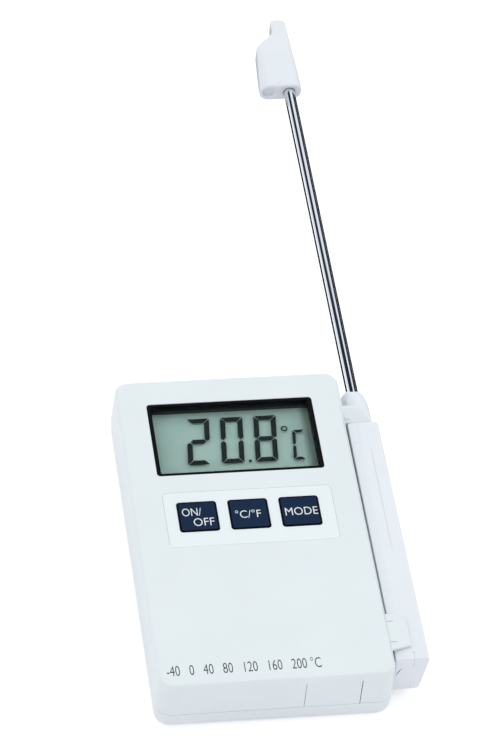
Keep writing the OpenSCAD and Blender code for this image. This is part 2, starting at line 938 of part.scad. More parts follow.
module quartz_crystal() {
    color(steel)
        rod_y(
            2 * blob_r, board_bottom - 1.05 * crystal_r, crystal_r,
            keys_y - 4 * crystal_r, keys_y + 2 * crystal_r
        );
}

// Surface-mounted parts on the back of the board
module board_parts() {
    color([0.75, 0.7, 0.6])
        for (i = [0:5])
            translate([(i - 5) * 2.5 * chip_w - chip_w, chips_y, board_bottom - chip_t])
                cube([chip_w, chip_l, chip_t]);
    color([0.15, 0.15, 0.16]) {
        box(
            5 * chip_w, 9 * chip_w, chips_y - 1.4 * chip_l, chips_y,
            board_bottom - 1.6 * chip_t, board_bottom
        );
        translate([-11 * chip_w, keys_y + 0.8 * capacitor_r, board_bottom - 2 * capacitor_r])
            cylinder(h = 2 * capacitor_r, r = capacitor_r);
    }
}

module cross_slots(size) {
    for (angle = [0, 90])
        rotate([0, 0, angle])
            translate([-size / 2, -size / 8, -0.1])
                cube([size, size / 4, 0.7]);
}

module board_screws() {
    color(steel)
        at_board_screws()
            translate([0, 0, board_bottom - board_head_h]) {
                difference() {
                    cylinder(h = board_head_h, r = board_head_r);
                    cross_slots(1.8 * board_screw_r);
                }
                translate([0, 0, board_head_h - 0.1])
                    cylinder(h = board_t + board_drop - board_screw_gap, r = board_screw_r);
            }
}

module housing_screws() {
    color(steel)
        at_housing_screws()
            translate([0, 0, screw_sink - screw_head_h]) {
                difference() {
                    cylinder(h = screw_head_h, r = screw_head_r);
                    cross_slots(2.4 * screw_r);
                }
                translate([0, 0, screw_head_h - 0.1])
                    cylinder(h = screw_end - screw_sink, r = screw_r);
            }
}

module battery_door() {
    color(body_white) {
        intersection() {
            housing_outside();
            door_opening(fit_gap);
        }
        difference() {
            union() {
                box(
                    battery_x - tray_w / 2, battery_x + tray_w / 2,
                    door_in - 0.1, tray_end, tray_z, tray_z + tray_t
                );
                for (side = [-1, 1])
                    translate([battery_x + side * (tray_w - rail_t) / 2, 0, 0])
                        box(
                            -rail_t / 2, rail_t / 2, door_in - 0.1, tray_end,
                            tray_z, cell_z + cell_h - 1
                        );
                box(
                    battery_x - tray_w / 2, battery_x + tray_w / 2,
                    tray_end - 0.8, tray_end, tray_z, cell_z + 1.2
                );
            }
            box(
                battery_x - contact_w / 2 - 0.3, battery_x + contact_w / 2 + 0.3,
                contact_reach - 0.5, tray_end + 1, tray_z - 1, cell_z + 0.3
            );
        }
    }
}

module button_cell() {
    color(steel)
        translate([battery_x, cell_y, cell_z])
            rotate_extrude()
                polygon([
                    [0, 0], [cell_r - 1.3, 0], [cell_r - 1.1, 0.5], [cell_r - 0.2, 0.6],
                    [cell_r, 0.8], [cell_r, cell_h - 0.3], [cell_r - 0.3, cell_h], [0, cell_h]
                ]);
}

module contact_positive() {
    color(brass)
        box(
            battery_x - contact_w / 2, battery_x + contact_w / 2,
            contact_reach, board_end_down + 2, board_top, board_top + contact_t
        );
}

module contact_negative() {
    top = cell_z - 0.05;
    leg = bay_stop + rib_t + 1;
    color(brass)
        translate([battery_x - contact_w / 2, 0, 0]) {
            box(0, contact_w, contact_reach, leg, top - contact_t, top);
            box(0, contact_w, leg - contact_t, leg, top - contact_t, board_bottom);
            box(
                0, contact_w, leg - contact_t, board_end_down + 2,
                board_bottom - contact_t, board_bottom
            );
        }
}

// The rubber bush in the body's top end, where the probe's cord goes in
module cord_inlet() {
    outside = half_l + draft + 0.05;
    inside = half_l - wall - 0.05;
    color(rubber_grey)
        turned_y(inlet_x, inlet_z, [
            [1.4, inside - 0.9], [3.3, inside - 0.9], [3.3, inside],
            [inlet_hole_r - 0.05, inside], [inlet_hole_r - 0.05, outside],
            [3.3, outside], [3, outside + 0.9], [1.4, outside + 0.9]
        ]);
}

// A long bar with the handle's section, between its left side x0 and its right side x1
module handle_bar(x0, x1) {
    translate([0, handle_y1 + handle_edge, 0])
        rotate([90, 0, 0])
            linear_extrude(handle_l + 2 * handle_edge)
                polygon(rounded(
                    [
                        [x0, handle_z0], [x1 - handle_taper, handle_z0], [x1, handle_z1],
                        [x0 + crown_w, handle_z1], [x0, handle_z1 - crown_h]
                    ],
                    [handle_edge, handle_edge * 1.5, handle_edge, 2 * crown_w, 0.6 * crown_h]
                ));
}

// Outside of the whole handle: the grip and its bullet-shaped neck
module handle_outside() {
    low_x1 = handle_x1 + handle_splay;
    plan = rounded(
        [[handle_x0, handle_y0], [low_x1, handle_y0], [handle_x1, handle_y1], [handle_x0, handle_y1]],
        [handle_edge * 0.6, handle_edge * 0.8, handle_edge * 1.3, handle_edge * 0.6]
    );
    dome_l = neck_l / 2;
    intersection() {
        handle_bar(handle_x0, handle_x1 + handle_w);
        translate([handle_x1, handle_y1, 0])
            rotate([0, 0, atan(handle_splay / handle_l)])
                translate([-handle_x1, -handle_y1, 0])
                    handle_bar(handle_x0 - handle_w, handle_x1);
        linear_extrude(body_t)
            polygon(plan);
    }
    difference() {
        turned_y(probe_x, probe_z, [
            [0, handle_y1 - 2], [neck_r - 0.8, handle_y1 - 2], [neck_r, handle_y1 - 0.8],
            for (i = [0:2 * arc_steps])
                let (angle = 90 * i / (2 * arc_steps))
                [
                    stem_r + 0.2 + (neck_r - stem_r - 0.2) * cos(angle),
                    neck_end - dome_l + dome_l * sin(angle)
                ],
            [0, neck_end]
        ]);
        neck_flat();
    }
    translate([probe_x, neck_end, probe_z])
        rotate([90, 0, 0])
            linear_extrude(neck_l - upper_clip_l - 1)
                polygon([
                    [-3.36, -2], [-3.36, 0], [-3.1, 0.6], [-2.05, 2.2], [-1, 2.2], [-1, -2]
                ]);
}

// The flat on the neck's side that faces the body
module neck_flat() {
    reach = neck_r * 0.84;
    translate([probe_x, upper_clip_y + upper_clip_l + 4 * slide_gap, probe_z])
        rotate([0, 14, 0])
            translate([-3 * reach, 0, -3 * reach])
                cube([2 * reach, far, 6 * reach]);
}

// Space inside the handle, with the stem's bore, the collar's pocket and the gland's hole
module handle_inside() {
    room_l = stem_y0 + 3 - handle_y0 - gland_t;
    translate([0, stem_y0 + 3, 0])
        rotate([90, 0, 0])
            linear_extrude(room_l)
                polygon([
                    [handle_x0 + handle_wall, handle_z0 + handle_wall],
                    [handle_x1 - handle_taper - handle_wall, handle_z0 + handle_wall],
                    [handle_x1 - handle_wall, handle_z1 - handle_wall],
                    [handle_x0 + handle_wall, handle_z1 - handle_wall]
                ]);
    rod_y(probe_x, probe_z, stem_r + 0.05, stem_y0, neck_end + 1);
    rod_y(probe_x, probe_z, collar_r + 0.05, collar_y - 0.05, collar_y + collar_l + 0.05);
    rod_y(
        gland_x - gland_shift, probe_z + gland_shift, gland_r + fit_gap,
        handle_y0 - 1, handle_y0 + gland_t + 1
    );
}

module pegs(r, x0, x1) {
    for (y = peg_ys)
        translate([x0, y, peg_z])
            rotate([0, 90, 0])
                cylinder(h = x1 - x0, r = r);
}

module seam_cut() {
    box(
        seam_x - seam_groove / 2, seam_x + seam_groove / 2,
        handle_y0 - 1, handle_y1 - 8, handle_z1 - 0.25, handle_z1 + 1
    );
}

module handle_left_shell() {
    color(body_white) {
        difference() {
            intersection() {
                handle_outside();
                box(0, seam_x, -far, far, -far, far);
            }
            handle_inside();
            seam_cut();
        }
        pegs(peg_r + 1, handle_x0 + handle_wall - 0.1, seam_x);
        pegs(peg_r, seam_x - 0.1, seam_x + 1);
    }
}

module handle_right_shell() {
    color(body_white)
        difference() {
            union() {
                difference() {
                    intersection() {
                        handle_outside();
                        box(seam_x, far, -far, far, -far, far);
                    }
                    handle_inside();
                    seam_cut();
                }
                pegs(peg_r + 1, seam_x, handle_x1 - (handle_taper + handle_wall) / 2);
            }
            pegs(peg_r + 0.05, seam_x - 1, seam_x + 1.1);
        }
}

module probe_stem() {
    shoulder = stem_tip - point_l;
    color(steel)
        turned_y(probe_x, probe_z, [
            [stem_r - stem_wall, stem_y0], [stem_r, stem_y0], [stem_r, shoulder],
            [0.35, stem_tip - 0.2], [0, stem_tip], [0, shoulder + 1.5],
            [stem_r - stem_wall, shoulder]
        ]);
}

module stem_collar() {
    color(brass)
        turned_y(probe_x, probe_z, [
            [stem_r + 0.02, collar_y], [collar_r, collar_y],
            [collar_r, collar_y + collar_l], [stem_r + 0.02, collar_y + collar_l]
        ]);
}

module sensor_bead() {
    color([0.2, 0.2, 0.22])
        translate([probe_x, bead_y, probe_z])
            sphere(r = bead_r);
}

module sensor_potting() {
    color([0.85, 0.83, 0.75])
        difference() {
            rod_y(
                probe_x, probe_z, stem_r - stem_wall - 0.02,
                bead_y - 5, bead_y + bead_r + 0.6
            );
            translate([probe_x, bead_y, probe_z])
                sphere(r = bead_r + 0.02);
            leads(lead_r + 0.02, bead_y - 6, bead_y - bead_r + 0.02);
        }
}

module leads(r, y0, y1) {
    for (side = [-1, 1])
        rod_y(probe_x + side * lead_x, probe_z, r, y0, y1);
}

module sensor_leads() {
    color([0.7, 0.15, 0.12])
        leads(lead_r, handle_y0 + gland_t + 0.3, bead_y - bead_r);
}

// The round gland in the handle's end, where its cord comes out, closed by a membrane
module cord_gland() {
    outer = handle_y0 + gland_sink;
    color(body_white)
        turned_y(gland_x, probe_z, [
            [0, outer], [gland_r - 0.2, outer], [gland_r, outer + 0.2],
            [gland_r, handle_y0 + gland_t], [gland_hole_r, handle_y0 + gland_t],
            [gland_hole_r, outer + membrane_t], [0, outer + membrane_t]
        ]);
}

// Outline of the cap seen from the front, from the stem's axis and the cap's open end
module cap_plan() {
    left = -cap_left;
    peg = 0.35;
    shoulder = cap_l * 0.6;
    slim = cap_l * 0.8;
    translate([probe_x, cap_y])
        polygon(rounded(
            [
                [left, 0], [cap_right, 0], [peg + cap_tip_r + 0.15, slim], [peg + cap_tip_r, cap_l],
                [peg - cap_tip_r, cap_l], [peg - cap_tip_r, slim - 0.4], [left + 1.3, shoulder - 0.9]
            ],
            [0.6, 0.6, 8, 2.2, 2.2, 1.6, 2]
        ));
}

// The cap seen from its side: full thickness at the open end, slimmer towards its tip
module cap_side() {
    half = cap_t / 2;
    translate([probe_x - far / 2, cap_y, probe_z])
        rotate([90, 0, 90])
            linear_extrude(far)
                polygon(rounded(
                    [
                        [-1, -half], [cap_l * 0.5, -half], [cap_l * 0.85, -cap_tip_r],
                        [cap_l + 0.3, -cap_tip_r], [cap_l + 0.3, cap_tip_r],
                        [cap_l * 0.85, cap_tip_r], [cap_l * 0.5, half], [-1, half]
                    ],
                    [0, 12, 12, 2, 2, 12, 12, 0]
                ));
}

module tip_cap() {
    half = cap_t / 2;
    color(body_white)
        difference() {
            intersection() {
                linear_extrude(body_t)
                    cap_plan();
                cap_side();
                translate([0, cap_end + 1, probe_z])
                    rotate([90, 0, 0])
                        linear_extrude(cap_l + 2)
                            translate([probe_x + (cap_right - cap_left) / 2, 0])
                                rounded_rect(cap_left + cap_right, cap_t, half - 0.05);
            }
            rod_y(probe_x, probe_z, stem_r + 0.06, cap_y - 1, stem_tip + 0.6);
            rod_y(cap_x2, probe_z, cap_hole_r, cap_y - 1, cap_y + cap_hole_l);
            translate([probe_x - cap_pitch / 2 - 0.5, cap_y - 1, probe_z + half])
                rotate([-78, 0, 0])
                    cylinder(h = 4.5, r = 0.7);
        }
}

front_shell();
rear_shell();
window_lens();
display_frame();
display_polariser();
display_front_glass();
display_segments();
display_rear_glass();
display_reflector();
contact_strips();
key_panel();
key_mat();
key_on_off();
key_unit();
key_mode();
dome_on_off();
dome_unit();
dome_mode();
pill_on_off();
pill_unit();
pill_mode();
main_board();
controller_blob();
quartz_crystal();
board_parts();
board_screws();
housing_screws();
battery_door();
button_cell();
contact_positive();
contact_negative();
cord_inlet();
handle_left_shell();
handle_right_shell();
probe_stem();
stem_collar();
sensor_bead();
sensor_potting();
sensor_leads();
cord_gland();
tip_cap();
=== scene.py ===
# A digital probe thermometer, dressed for rendering. Lengths are in millimetres until a mesh is
# made, and MM turns them into metres.

import json
import math

import bmesh
import bpy
from mathutils import Matrix, Vector


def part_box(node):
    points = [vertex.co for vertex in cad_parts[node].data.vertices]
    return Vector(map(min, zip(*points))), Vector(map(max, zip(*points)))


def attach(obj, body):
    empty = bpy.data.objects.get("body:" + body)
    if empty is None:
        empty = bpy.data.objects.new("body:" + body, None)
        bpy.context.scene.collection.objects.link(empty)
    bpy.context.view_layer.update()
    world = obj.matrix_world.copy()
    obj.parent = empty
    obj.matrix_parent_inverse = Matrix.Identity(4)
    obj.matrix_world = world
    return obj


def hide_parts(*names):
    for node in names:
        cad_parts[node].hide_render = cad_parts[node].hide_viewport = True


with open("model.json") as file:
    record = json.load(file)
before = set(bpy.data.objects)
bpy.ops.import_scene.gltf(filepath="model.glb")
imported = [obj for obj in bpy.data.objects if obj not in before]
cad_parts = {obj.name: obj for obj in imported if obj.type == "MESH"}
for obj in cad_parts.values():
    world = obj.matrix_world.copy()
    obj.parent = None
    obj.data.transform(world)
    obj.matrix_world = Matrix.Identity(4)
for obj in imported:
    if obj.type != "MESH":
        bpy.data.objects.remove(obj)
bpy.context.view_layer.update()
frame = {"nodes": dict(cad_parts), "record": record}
nodes = frame["nodes"]
MM = 0.001
HARD = 32


# Materials

def new_material(name):
    mat = bpy.data.materials.new(name)
    mat.use_nodes = True
    tree = mat.node_tree
    tree.nodes.clear()
    out = tree.nodes.new("ShaderNodeOutputMaterial")
    shader = tree.nodes.new("ShaderNodeBsdfPrincipled")
    tree.links.new(shader.outputs["BSDF"], out.inputs["Surface"])
    return mat, tree, shader


def noise(tree, scale, detail=3.0, rough=0.5, stretch=(1, 1, 1)):
    """Noise over the object's own place; scale counts features per millimetre."""
    place = tree.nodes.new("ShaderNodeTexCoord")
    mapping = tree.nodes.new("ShaderNodeMapping")
    mapping.inputs["Scale"].default_value = tuple(s / MM for s in stretch)
    tex = tree.nodes.new("ShaderNodeTexNoise")
    tex.inputs["Scale"].default_value = scale
    tex.inputs["Detail"].default_value = detail
    tex.inputs["Roughness"].default_value = rough
    tree.links.new(place.outputs["Object"], mapping.inputs["Vector"])
    tree.links.new(mapping.outputs["Vector"], tex.inputs["Vector"])
    return tex


def ramp(tree, source, stops):
    node = tree.nodes.new("ShaderNodeValToRGB")
    ramp_data = node.color_ramp
    while len(ramp_data.elements) < len(stops):
        ramp_data.elements.new(0.5)
    for element, (place, colour) in zip(ramp_data.elements, stops):
        element.position = place
        element.color = (*colour, 1)
    tree.links.new(source, node.inputs["Fac"])
    return node


def spread(tree, source, low, high, start=0.3, end=0.7):
    node = tree.nodes.new("ShaderNodeMapRange")
    node.inputs["From Min"].default_value = start
    node.inputs["From Max"].default_value = end
    node.inputs["To Min"].default_value = low
    node.inputs["To Max"].default_value = high
    tree.links.new(source, node.inputs["Value"])
    return node.outputs["Result"]


def bump(tree, shader, height, distance):
    node = tree.nodes.new("ShaderNodeBump")
    node.inputs["Strength"].default_value = 1.0
    node.inputs["Distance"].default_value = distance * MM
    tree.links.new(height, node.inputs["Height"])
    tree.links.new(node.outputs["Normal"], shader.inputs["Normal"])


def plastic(name, colour, rough, grain=2.2, depth=0.006, mottle=0.02, specular=0.25):
    """Moulded plastic: fine spark-eroded grain, slow mottling and a slightly uneven sheen."""
    mat, tree, shader = new_material(name)
    slow = noise(tree, 0.05, 4.0, 0.55)
    low = tuple(c * (1 - mottle) for c in colour)
    high = tuple(c * (1 + mottle * 0.4) for c in colour)
    tint = ramp(tree, slow.outputs["Fac"], [(0.3, low), (0.7, high)])
    tree.links.new(tint.outputs["Color"], shader.inputs["Base Color"])
    fine = noise(tree, grain, 2.0, 0.6)
    sheen = spread(tree, fine.outputs["Fac"], rough - 0.05, rough + 0.05)
    tree.links.new(sheen, shader.inputs["Roughness"])
    bump(tree, shader, fine.outputs["Fac"], depth)
    shader.inputs["Specular IOR Level"].default_value = specular
    return mat


def rubber(name, colour, rough=0.7):
    """Dull rubber or soft insulation with a fine skin."""
    mat, tree, shader = new_material(name)
    fine = noise(tree, 5.0, 3.0, 0.6)
    tint = ramp(tree, fine.outputs["Fac"], [(0.35, tuple(c * 0.8 for c in colour)), (0.65, colour)])
    tree.links.new(tint.outputs["Color"], shader.inputs["Base Color"])
    sheen = spread(tree, fine.outputs["Fac"], rough - 0.08, rough + 0.08)
    tree.links.new(sheen, shader.inputs["Roughness"])
    bump(tree, shader, fine.outputs["Fac"], 0.02)
    shader.inputs["Specular IOR Level"].default_value = 0.3
    return mat


def metal(name, colour, rough, drawn=True, depth=0.0015, scale=3.0):
    """Metal, with fine lines along Y where it is drawn."""
    mat, tree, shader = new_material(name)
    lines = noise(tree, scale, 3.0, 0.6, (1, 0.02, 1) if drawn else (1, 1, 1))
    low = tuple(c * 0.93 for c in colour)
    tint = ramp(tree, lines.outputs["Fac"], [(0.35, low), (0.65, colour)])
    tree.links.new(tint.outputs["Color"], shader.inputs["Base Color"])
    sheen = spread(tree, lines.outputs["Fac"], rough * 0.8, rough * 1.25)
    tree.links.new(sheen, shader.inputs["Roughness"])
    bump(tree, shader, lines.outputs["Fac"], depth)
    shader.inputs["Metallic"].default_value = 1.0
    return mat


def clear(name, tint, alpha, specular=0.5):
    """Thin clear sheet: nearly all light passes, and the rest is its own faint gloss."""
    mat, tree, shader = new_material(name)
    slow = noise(tree, 0.2, 2.0, 0.5)
    film = ramp(tree, slow.outputs["Fac"], [(0.3, tuple(c * 0.8 for c in tint)), (0.7, tint)])
    tree.links.new(film.outputs["Color"], shader.inputs["Base Color"])
    tree.links.new(spread(tree, slow.outputs["Fac"], 0.03, 0.05), shader.inputs["Roughness"])
    shader.inputs["Alpha"].default_value = alpha
    shader.inputs["Specular IOR Level"].default_value = specular
    return mat


WHITE = (0.80, 0.855, 0.875)
LILAC = (0.79, 0.825, 0.865)
mats = {
    "housing_plastic": plastic("housing_plastic", WHITE, 0.42),
    "handle_plastic": plastic("handle_plastic", (0.825, 0.86, 0.90), 0.42),
    "cap_plastic": plastic("cap_plastic", LILAC, 0.33, depth=0.004),
    "black_plastic": plastic(
        "black_plastic", (0.004, 0.004, 0.0045), 0.5, depth=0.004, mottle=0.2, specular=0.12
    ),
    "clear_plastic": clear("clear_plastic", (0.10, 0.12, 0.12), 0.05),
    "display_glass": clear("display_glass", (0.05, 0.07, 0.065), 0.03, specular=0.2),
    "strip_rubber": rubber("strip_rubber", (0.05, 0.05, 0.055)),
    "panel_film": plastic(
        "panel_film", (0.835, 0.895, 0.91), 0.38, grain=4.0, depth=0.002, mottle=0.01
    ),
    "mat_rubber": rubber("mat_rubber", (0.07, 0.075, 0.085)),
    "key_navy": plastic(
        "key_navy", (0.005, 0.023, 0.070), 0.45, grain=3.0, depth=0.004, mottle=0.12, specular=0.15
    ),
    "key_black": plastic(
        "key_black", (0.003, 0.004, 0.008), 0.45, grain=3.0, depth=0.004, mottle=0.1, specular=0.06
    ),
    "carbon_pill": rubber("carbon_pill", (0.01, 0.01, 0.01)),
    "circuit_board": plastic(
        "circuit_board", (0.02, 0.13, 0.05), 0.3, grain=1.0, depth=0.01, mottle=0.2
    ),
    "black_resin": plastic(
        "black_resin", (0.01, 0.01, 0.01), 0.15, grain=0.6, depth=0.02, mottle=0.2
    ),
    "crystal_can": metal("crystal_can", (0.6, 0.62, 0.64), 0.25),
    "component_bodies": plastic("component_bodies", (0.35, 0.3, 0.24), 0.5, mottle=0.15),
    "screw_steel": metal("screw_steel", (0.55, 0.56, 0.57), 0.32, False, 0.004, 2.0),
    "cell_steel": metal("cell_steel", (0.62, 0.63, 0.64), 0.22, False, 0.002),
    "contact_brass": metal("contact_brass", (0.75, 0.58, 0.28), 0.25),
    "bush_rubber": rubber("bush_rubber", (0.16, 0.17, 0.18)),
    "stem_steel": metal("stem_steel", (0.86, 0.875, 0.90), 0.05, depth=0.0004, scale=4.0),
    "collar_brass": metal("collar_brass", (0.75, 0.58, 0.28), 0.25),
    "bead_ceramic": plastic("bead_ceramic", (0.05, 0.05, 0.055), 0.5),
    "potting_resin": plastic("potting_resin", (0.6, 0.57, 0.48), 0.5),
    "lead_insulation": rubber("lead_insulation", (0.35, 0.02, 0.015), 0.45),
    "legend_white": plastic(
        "legend_white", (0.80, 0.84, 0.79), 0.5, grain=6.0, depth=0.001, mottle=0.03, specular=0.2
    ),
    "print_grey": plastic(
        "print_grey", (0.07, 0.085, 0.09), 0.5, grain=6.0, depth=0.001, mottle=0.1, specular=0.2
    ),
    "segment_black": plastic(
        "segment_black", (0.012, 0.019, 0.018), 0.6, grain=3.0, depth=0.001, mottle=0.2, specular=0.05
    ),
    "polariser_film": clear("polariser_film", (0.05, 0.06, 0.06), 0.05, specular=0.1),
}


def display_back():
    """Grey-green reflector of the display: soft fibres, with painted shade along its right and top
    edges.
    """
    mat, tree, shader = new_material("reflector_film")
    fibres = noise(tree, 1.2, 4.0, 0.65, (1.0, 0.25, 1.0))
    slow = noise(tree, 0.06, 2.0, 0.5)
    stops = [(0.3, (0.43, 0.635, 0.575)), (0.7, (0.465, 0.67, 0.61))]
    colour = ramp(tree, fibres.outputs["Fac"], stops).outputs["Color"]
    place = tree.nodes.new("ShaderNodeTexCoord")
    parts = tree.nodes.new("ShaderNodeSeparateXYZ")
    tree.links.new(place.outputs["Object"], parts.inputs[0])
    # painted shade: the colour darkens over the last 4 mm towards the right and top edges, where the
    # frame's walls would shade the reflector
    right = spread(tree, parts.outputs["X"], 0, 1, 19.0 * MM, 23.0 * MM)
    top = spread(tree, parts.outputs["Y"], 0, 1, 41.0 * MM, 45.0 * MM)
    for source, stops in (
        (slow.outputs["Fac"], [(0.3, (0.95, 0.96, 0.96)), (0.7, (1, 1, 1))]),
        (right, [(0.12, (1, 1, 1)), (0.58, (0.5, 0.5, 0.5)), (1.0, (0.46, 0.46, 0.46))]),
        (top, [(0.15, (1, 1, 1)), (0.52, (0.8, 0.8, 0.8)), (1.0, (0.72, 0.72, 0.72))]),
    ):
        blend = tree.nodes.new("ShaderNodeMixRGB")
        blend.blend_type = "MULTIPLY"
        blend.inputs["Fac"].default_value = 1.0
        tree.links.new(colour, blend.inputs["Color1"])
        tree.links.new(ramp(tree, source, stops).outputs["Color"], blend.inputs["Color2"])
        colour = blend.outputs["Color"]
    tree.links.new(colour, shader.inputs["Base Color"])
    tree.links.new(spread(tree, fibres.outputs["Fac"], 0.55, 0.7), shader.inputs["Roughness"])
    bump(tree, shader, fibres.outputs["Fac"], 0.004)
    shader.inputs["Specular IOR Level"].default_value = 0.15
    return mat


mats["reflector_film"] = display_back()

for entry in frame["record"]["subparts"]:
    node = nodes[entry["node"]]
    slot = entry["material_slot"]
    if not node.material_slots:
        node.data.materials.append(mats[slot])
    for place in node.material_slots:
        place.link = "OBJECT"
        place.material = mats[slot]


# Pieces made from the CAD nodes' own shapes

def finish_mesh(bm, name, materials):
    data = bpy.data.meshes.new(name)
    bm.to_mesh(data)
    bm.free()
    piece = bpy.data.objects.new(name, data)
    bpy.context.scene.collection.objects.link(piece)
    for material in materials:
        data.materials.append(mats[material])
    return piece


def rounded_loop(w, l, r, z, steps=6):
    """The points of a rounded rectangle of width w, length l and corner radius r, at height z."""
    points = []
    for cx, cy, start in ((1, 1, 0), (-1, 1, 90), (-1, -1, 180), (1, -1, 270)):
        for i in range(steps + 1):
            angle = math.radians(start + 90 * i / steps)
            x = cx * (w / 2 - r) + r * math.cos(angle)
            y = cy * (l / 2 - r) + r * math.sin(angle)
            points.append((x, y, z))
    return points


def loft(bm, loops):
    """Joins loops of equal length, closes both ends, and returns the faces between each pair."""
    rings = [[bm.verts.new(Vector(p)) for p in loop] for loop in loops]
    bands = []
    for a, b in zip(rings, rings[1:]):
        following = [(i + 1) % len(a) for i in range(len(a))]
        bands.append([bm.faces.new((a[i], a[j], b[j], b[i])) for i, j in enumerate(following)])
    bm.faces.new(list(reversed(rings[0])))
    bm.faces.new(rings[-1])
    return bands


def soft_shading(piece, degrees=28):
    """Smooth shading in which large flat faces stay flat and only narrow edges turn the light."""
    data = piece.data
    bm = bmesh.new()
    bm.from_mesh(data)
    for face in bm.faces:
        face.smooth = True
    limit = math.radians(degrees)
    for edge in bm.edges:
        edge.smooth = len(edge.link_faces) == 2 and edge.calc_face_angle(0.0) < limit
    bm.to_mesh(data)
    bm.free()
    weigh = piece.modifiers.new("flat_faces", "WEIGHTED_NORMAL")
    weigh.mode = "FACE_AREA"
    weigh.keep_sharp = True
    graph = bpy.context.evaluated_depsgraph_get()
    piece.data = bpy.data.meshes.new_from_object(piece.evaluated_get(graph))
    piece.modifiers.clear()


def cleaned_copy(node, outer):
    """The CAD node's mesh, with the cuts inside its outer flat faces removed."""
    bm = bmesh.new()
    bm.from_mesh(nodes[node].data)
    bmesh.ops.remove_doubles(bm, verts=bm.verts, dist=0.004 * MM)
    skin = [e for e in bm.edges if all(outer(v.co / MM) for v in e.verts)]
    bmesh.ops.dissolve_limit(
        bm, angle_limit=math.radians(0.6), verts=list(dict.fromkeys(v for e in skin for v in e.verts)),
        edges=skin, use_dissolve_boundaries=False
    )
    for face in bm.faces:
        face.material_index = 0
    return bm


def slot_of(node):
    return next(e["material_slot"] for e in frame["record"]["subparts"] if e["node"] == node)


def stand_for(piece, node, body):
    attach(piece, body)
    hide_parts(node)


def edged(node, body, width, outer, keep=None, reshape=None, cuts=(), shave=None):
    """A copy of a CAD node whose outer hard edges are broken by a small real bevel.

    outer says which points lie on the skin, keep which edges stay sharp, cuts where extra loops
    go in along Y, and shave and reshape change the form before the bevel.
    """
    bm = cleaned_copy(node, outer)
    if shave:
        shave(bm)
    for y in cuts:
        everything = list(bm.verts) + list(bm.edges) + list(bm.faces)
        bmesh.ops.bisect_plane(bm, geom=everything, plane_co=(0, y * MM, 0), plane_no=(0, 1, 0))
    if reshape:
        for vert in bm.verts:
            vert.co = reshape(vert.co / MM) * MM
    sharp = [
        e for e in bm.edges
        if len(e.link_faces) == 2 and e.calc_face_angle(0.0) > math.radians(HARD)
        and all(outer(v.co / MM) for v in e.verts) and e.calc_length() > 3 * width * MM
        and not (keep and keep([v.co / MM for v in e.verts]))
    ]
    bmesh.ops.bevel(
        bm, geom=sharp, offset=width * MM, offset_type="OFFSET", segments=2, profile=0.5,
        affect="EDGES", clamp_overlap=False, miter_outer="ARC"
    )
    piece = finish_mesh(bm, node + "_form", [slot_of(node)])
    soft_shading(piece, HARD)
    stand_for(piece, node, body)


# The handle's seam, its bottom end and top face, and the gland's hole there
SEAM_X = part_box("handle_right_shell")[0].x / MM
HANDLE_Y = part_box("handle_left_shell")[0].y / MM
HANDLE_TOP = 16.5
GLAND = (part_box("cord_gland")[0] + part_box("cord_gland")[1]) / 2 / MM + Vector((-0.06, 0, 0.06))
# Where the seam starts and ends to show, how deep it is, and the loops that it needs
SEAM_START, SEAM_END, SEAM_FADE = -12, 27.4, 4
SEAM_DEPTH = 0.14
SEAM_CUTS = (HANDLE_Y + 2, HANDLE_Y + 2.6, SEAM_START, SEAM_START + SEAM_FADE, SEAM_END - SEAM_FADE)
# The battery door's box, and the heights of its outer face
DOOR_LOW, DOOR_HIGH = (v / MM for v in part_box("battery_door"))
door_heights = sorted(
    v.co.z / MM for v in nodes["battery_door"].data.vertices if v.co.y / MM < DOOR_LOW.y + 1.5
)
DOOR_Z = (door_heights[0], door_heights[-1])
# The height of the shells' joint, and the middle of the bottom end's right corner
PARTING_Z = 6
CORNER_X, CORNER_Y = 28.0, -49.5
PANEL = [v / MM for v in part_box("key_panel")]
# The lower clip along Y, and the slope of the upper clip's top
CLIP_Y = (-45.2, -33.2)
SADDLE_Y, SADDLE_RUN = 35.65, 3.6
SADDLE_LOW, SADDLE_HIGH = 16.25, 17.95


def handle_plain(points):
    """Edges of the handle that stay sharp: along the seam and round the gland's hole."""
    if all(abs(p.x - SEAM_X) < 0.4 and p.y > HANDLE_Y + 0.5 for p in points):
        return True
    return all(p.y < HANDLE_Y + 0.5 and math.hypot(p.x - GLAND.x, p.z - GLAND.z) < 3.4 for p in points)


def seam_faded(p):
    """The seam shows along the middle of the grip, and closes towards both ends."""
    p = p.copy()
    if abs(p.x - SEAM_X) < 0.15 and HANDLE_TOP - 0.5 < p.z < HANDLE_TOP - 0.05:
        rising = max((p.y - SEAM_START) / SEAM_FADE, 0)
        falling = max((SEAM_END - p.y) / SEAM_FADE, 0)
        end = min(max((HANDLE_Y + 2.6 - p.y) / 0.6, 0), 1)
        p.z = HANDLE_TOP - 0.002 - SEAM_DEPTH * max(min(rising, falling, 1), end)
    return p


def door_level(points):
    """The door's upper and lower edges stay sharp."""
    heights = [p.z for p in points]
    return min(heights) > DOOR_Z[1] - 0.05 or max(heights) < DOOR_Z[0] + 0.15


def opening_plain(points):
    """The door's opening and the foot of the lower clip, with its fine slits, stay sharp."""
    if any(
        31.5 < p.x < 34.0 and p.z > 16.5 and CLIP_Y[0] - 0.3 < p.y < CLIP_Y[1] + 0.3 for p in points
    ):
        return True
    return all(
        p.y < -53.0 and DOOR_LOW.x - 0.3 < p.x < DOOR_HIGH.x + 0.3
        and DOOR_Z[0] - 0.3 < p.z < DOOR_Z[1] + 0.3 for p in points
    )


def door_face(p):
    """The door's outer face fills its opening but for the line at its right."""
    p = p.copy()
    if p.y < DOOR_LOW.y + 1.5:
        if p.z > DOOR_Z[1] - 0.05:
            p.z += 0.1
        if p.z < DOOR_Z[0] + 0.05:
            p.z -= 0.1
        if p.x > DOOR_HIGH.x - 0.05:
            p.x -= 0.12
        if p.x < DOOR_LOW.x + 0.05:
            p.x += 0.05
    return p


